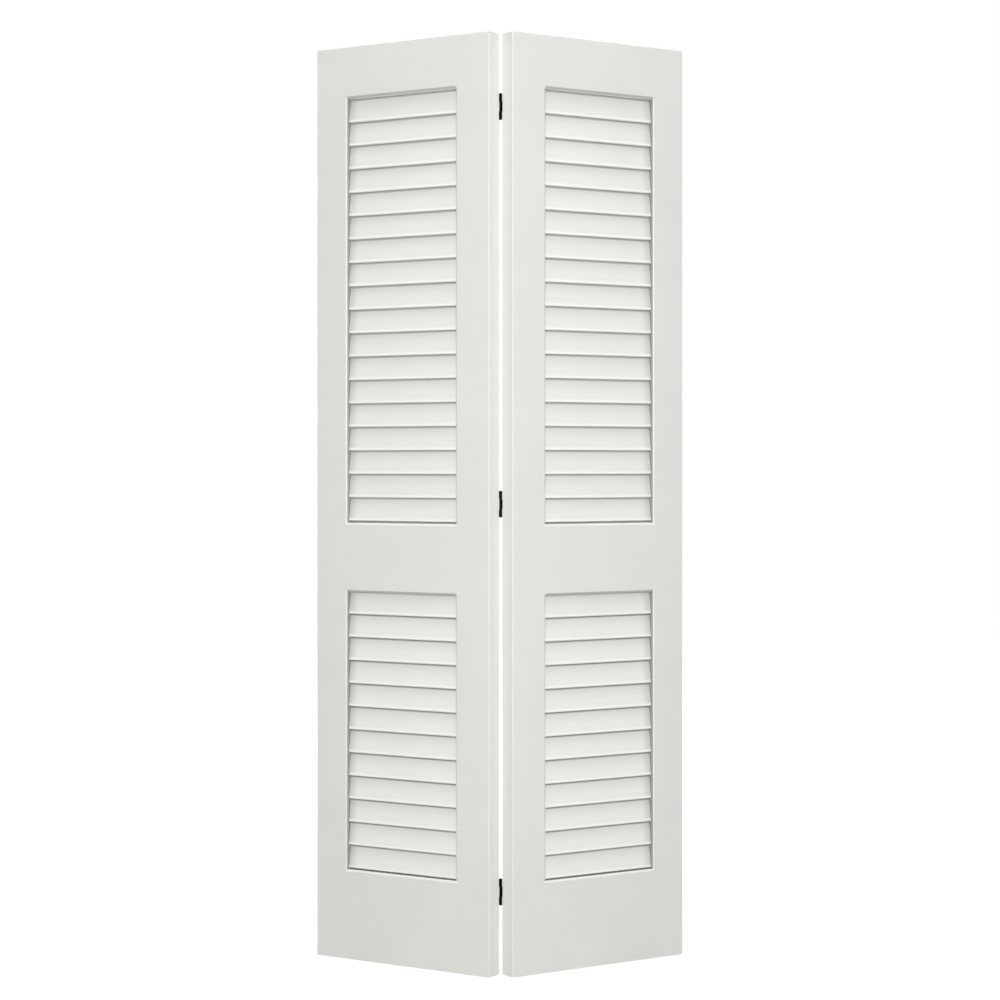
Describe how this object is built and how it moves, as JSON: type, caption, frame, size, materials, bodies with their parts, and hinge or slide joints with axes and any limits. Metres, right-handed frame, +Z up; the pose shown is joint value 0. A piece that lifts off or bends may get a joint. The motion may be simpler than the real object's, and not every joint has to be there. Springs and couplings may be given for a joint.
{
  "type": "bifold closet door",
  "caption": "Louvred bifold closet door in white paint: mirrored leaves of fixed slats between stiles and rails, hung together at the centre seam on black butt hinges, half folded.",
  "frame": {"origin": "on the floor under the middle of the half-folded door's footprint: the centre of its bounding box, at the level of the bottom edges", "axes": "+Z up along the leaves' height. -Y to the room: the seam between the leaves points to -Y and their outer edges to +Y, into the closet. The pivot leaf, hung at the jamb, is on -X and the lead leaf, which runs along the track, on +X"},
  "size_m": [0.8104, 0.2736, 2.007],
  "materials": {
    "white_paint": "white satin paint over wood",
    "bare_wood": "bare planed tenon, hidden in the joint",
    "black_steel": "black satin coating on steel"
  },
  "bodies": {
    "pivot_leaf": {"pivot_outer_stile": "white_paint", "pivot_hinge_stile": "white_paint", "pivot_top_rail": "white_paint", "pivot_lock_rail": "white_paint", "pivot_bottom_rail": "white_paint", "pivot_upper_slats": "white_paint", "pivot_lower_slats": "white_paint", "pivot_upper_head_strip": "white_paint", "pivot_upper_foot_strip": "white_paint", "pivot_lower_foot_strip": "white_paint", "pivot_top_rail_tenons": "bare_wood", "pivot_lock_rail_tenons": "bare_wood", "pivot_bottom_rail_tenons": "bare_wood", "top_hinge_pivot_plate": "black_steel", "top_hinge_pin": "black_steel", "top_hinge_pivot_screws": "black_steel", "middle_hinge_pivot_plate": "black_steel", "middle_hinge_pin": "black_steel", "middle_hinge_pivot_screws": "black_steel", "bottom_hinge_pivot_plate": "black_steel", "bottom_hinge_pin": "black_steel", "bottom_hinge_pivot_screws": "black_steel"},
    "lead_leaf": {"lead_outer_stile": "white_paint", "lead_hinge_stile": "white_paint", "lead_top_rail": "white_paint", "lead_lock_rail": "white_paint", "lead_bottom_rail": "white_paint", "lead_upper_slats": "white_paint", "lead_lower_slats": "white_paint", "lead_upper_head_strip": "white_paint", "lead_upper_foot_strip": "white_paint", "lead_lower_foot_strip": "white_paint", "lead_top_rail_tenons": "bare_wood", "lead_lock_rail_tenons": "bare_wood", "lead_bottom_rail_tenons": "bare_wood", "top_hinge_lead_plate": "black_steel", "top_hinge_lead_screws": "black_steel", "middle_hinge_lead_plate": "black_steel", "middle_hinge_lead_screws": "black_steel", "bottom_hinge_lead_plate": "black_steel", "bottom_hinge_lead_screws": "black_steel"}
  },
  "joints": [
    {"name": "fold_hinge", "type": "hinge", "parent": "pivot_leaf", "child": "lead_leaf", "pos_m": [0, -0.10186, 1.0035], "axis": [0, 0, 1], "range_deg": [-64.6, 112]}
  ]
}
